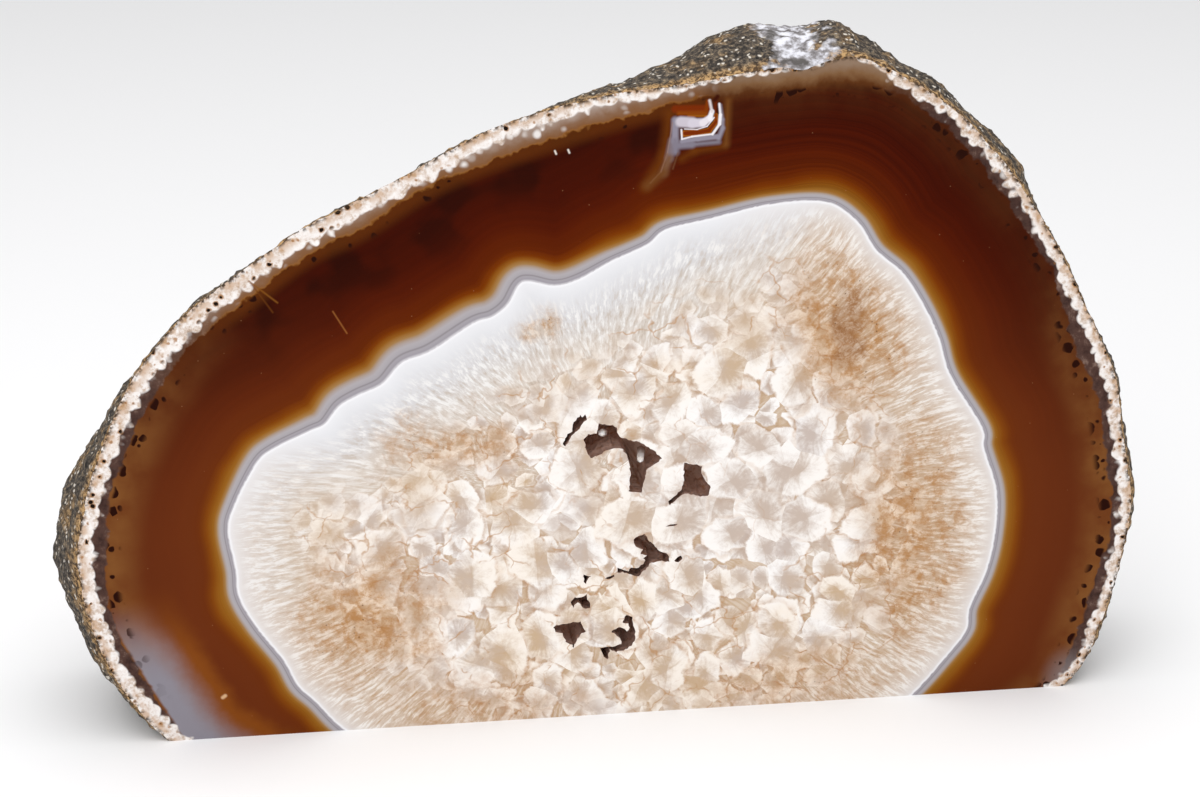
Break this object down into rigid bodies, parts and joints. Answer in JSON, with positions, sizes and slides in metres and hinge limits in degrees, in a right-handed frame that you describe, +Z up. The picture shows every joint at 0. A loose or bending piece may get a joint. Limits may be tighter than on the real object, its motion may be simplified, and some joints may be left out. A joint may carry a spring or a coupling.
{
  "type": "polished agate slice",
  "caption": "Thick agate slab with a polished face of brown bands round a quartz centre with open pockets, a rough rind, a sawn back and a flat base to stand on.",
  "frame": {"origin": "middle of the flat sawn base, at the bottom centre of the bounding box", "axes": "+Z up, +X along the width of the slice to the right as the polished face is seen, +Y from the polished face to the sawn back"},
  "size_m": [0.1834, 0.03, 0.1158],
  "materials": {
    "agate": "polished brown agate and milky quartz on the face, rough grey rind, matt sawn back and base"
  },
  "bodies": {
    "root": {"agate_slice": "agate"}
  },
  "joints": []
}
